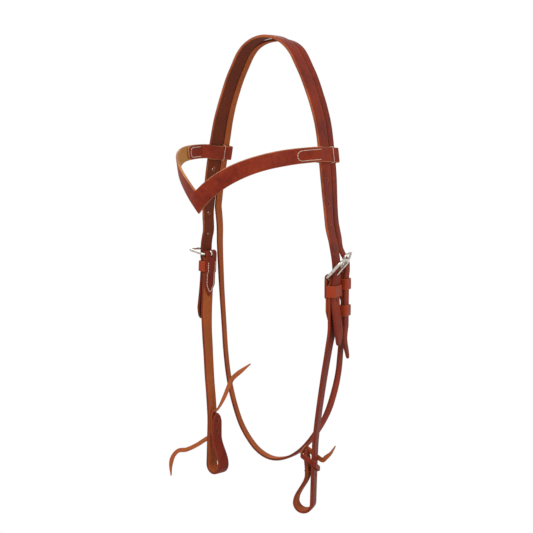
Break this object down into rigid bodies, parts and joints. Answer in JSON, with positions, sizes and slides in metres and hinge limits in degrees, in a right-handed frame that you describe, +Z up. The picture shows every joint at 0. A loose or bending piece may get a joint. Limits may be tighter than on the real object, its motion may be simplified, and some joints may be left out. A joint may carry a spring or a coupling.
{
  "type": "western headstall",
  "caption": "Leather headstall with a V-shaped browband, buckled cheekpieces with laced bit ends, and a buckled throat latch, shaped as it hangs.",
  "frame": {"origin": "underside of the crown strap at its highest point, where it hangs", "axes": "+Z up along the hang, -Y to the front (the browband side), +X to the side with the throat latch buckle"},
  "size_m": [0.2568, 0.145, 0.5254],
  "materials": {
    "crown_strap": "russet harness leather, oiled, cut edges dyed",
    "throat_latch_strap": "russet harness leather, oiled, cut edges dyed",
    "browband": "russet harness leather, oiled, cut edges dyed",
    "left_cheekpiece": "russet harness leather, oiled, cut edges dyed",
    "right_cheekpiece": "russet harness leather, oiled, cut edges dyed",
    "left_cheek_keeper": "russet harness leather, oiled",
    "right_cheek_keeper": "russet harness leather, oiled",
    "throat_fixed_keeper": "russet harness leather, oiled",
    "throat_sliding_keeper": "russet harness leather, oiled",
    "left_bit_tie": "russet harness leather, oiled, cut edges dyed",
    "right_bit_tie": "russet harness leather, oiled, cut edges dyed",
    "left_cheek_buckle_frame": "bright nickel-plated wire",
    "left_cheek_buckle_tongue": "bright nickel-plated wire",
    "right_cheek_buckle_frame": "bright nickel-plated wire",
    "right_cheek_buckle_tongue": "bright nickel-plated wire",
    "throat_buckle_frame": "bright nickel-plated wire",
    "throat_buckle_tongue": "bright nickel-plated wire",
    "browband_left_stitching": "waxed pale thread",
    "browband_right_stitching": "waxed pale thread",
    "browband_left_divider": "waxed pale thread",
    "browband_right_divider": "waxed pale thread",
    "left_cheek_stitching": "waxed pale thread",
    "right_cheek_stitching": "waxed pale thread",
    "throat_latch_stitching": "waxed pale thread"
  },
  "bodies": {
    "headstall": {"crown_strap": "crown_strap", "throat_latch_strap": "throat_latch_strap", "left_cheekpiece": "left_cheekpiece", "right_cheekpiece": "right_cheekpiece", "left_cheek_keeper": "left_cheek_keeper", "right_cheek_keeper": "right_cheek_keeper", "throat_fixed_keeper": "throat_fixed_keeper", "left_bit_tie": "left_bit_tie", "right_bit_tie": "right_bit_tie", "left_cheek_stitching": "left_cheek_stitching", "right_cheek_stitching": "right_cheek_stitching", "throat_latch_stitching": "throat_latch_stitching"},
    "browband": {"browband": "browband", "browband_left_stitching": "browband_left_stitching", "browband_right_stitching": "browband_right_stitching", "browband_left_divider": "browband_left_divider", "browband_right_divider": "browband_right_divider"},
    "sliding_keeper": {"throat_sliding_keeper": "throat_sliding_keeper"},
    "left_cheek_buckle_frame": {"left_cheek_buckle_frame": "left_cheek_buckle_frame"},
    "left_cheek_buckle_tongue": {"left_cheek_buckle_tongue": "left_cheek_buckle_tongue"},
    "right_cheek_buckle_frame": {"right_cheek_buckle_frame": "right_cheek_buckle_frame"},
    "right_cheek_buckle_tongue": {"right_cheek_buckle_tongue": "right_cheek_buckle_tongue"},
    "throat_buckle_frame": {"throat_buckle_frame": "throat_buckle_frame"},
    "throat_buckle_tongue": {"throat_buckle_tongue": "throat_buckle_tongue"}
  },
  "joints": [
    {"name": "left_cheek_frame_hinge", "type": "hinge", "parent": "headstall", "child": "left_cheek_buckle_frame", "pos_m": [-0.08677, -0.00296, -0.24484], "axis": [0.0731, 0.9973, -0.0077], "range_deg": [0, 40]},
    {"name": "left_cheek_tongue_hinge", "type": "hinge", "parent": "headstall", "child": "left_cheek_buckle_tongue", "pos_m": [-0.08677, -0.00296, -0.24484], "axis": [-0.0731, -0.9973, 0.0077], "range_deg": [0, 5]},
    {"name": "right_cheek_frame_hinge", "type": "hinge", "parent": "headstall", "child": "right_cheek_buckle_frame", "pos_m": [0.09115, -0.00301, -0.25686], "axis": [0.1822, -0.9832, 0.0039], "range_deg": [0, 18]},
    {"name": "right_cheek_tongue_hinge", "type": "hinge", "parent": "headstall", "child": "right_cheek_buckle_tongue", "pos_m": [0.09115, -0.00301, -0.25686], "axis": [-0.1822, 0.9832, -0.0039], "range_deg": [0, 5]},
    {"name": "throat_frame_hinge", "type": "hinge", "parent": "headstall", "child": "throat_buckle_frame", "pos_m": [0.09142, 0.01746, -0.25007], "axis": [0.1822, -0.9832, 0.0039], "range_deg": [0, 4]},
    {"name": "throat_tongue_hinge", "type": "hinge", "parent": "headstall", "child": "throat_buckle_tongue", "pos_m": [0.09142, 0.01746, -0.25007], "axis": [-0.1822, 0.9832, -0.0039], "range_deg": [0, 4]},
    {"name": "browband_slide", "type": "slide", "parent": "headstall", "child": "browband", "axis": [0, 0, 1], "range_m": [-0.0025, 0.005]},
    {"name": "sliding_keeper_slide", "type": "slide", "parent": "headstall", "child": "sliding_keeper", "axis": [-0.0021, 0.0036, 1], "range_m": [-0.01, 0.004]}
  ]
}
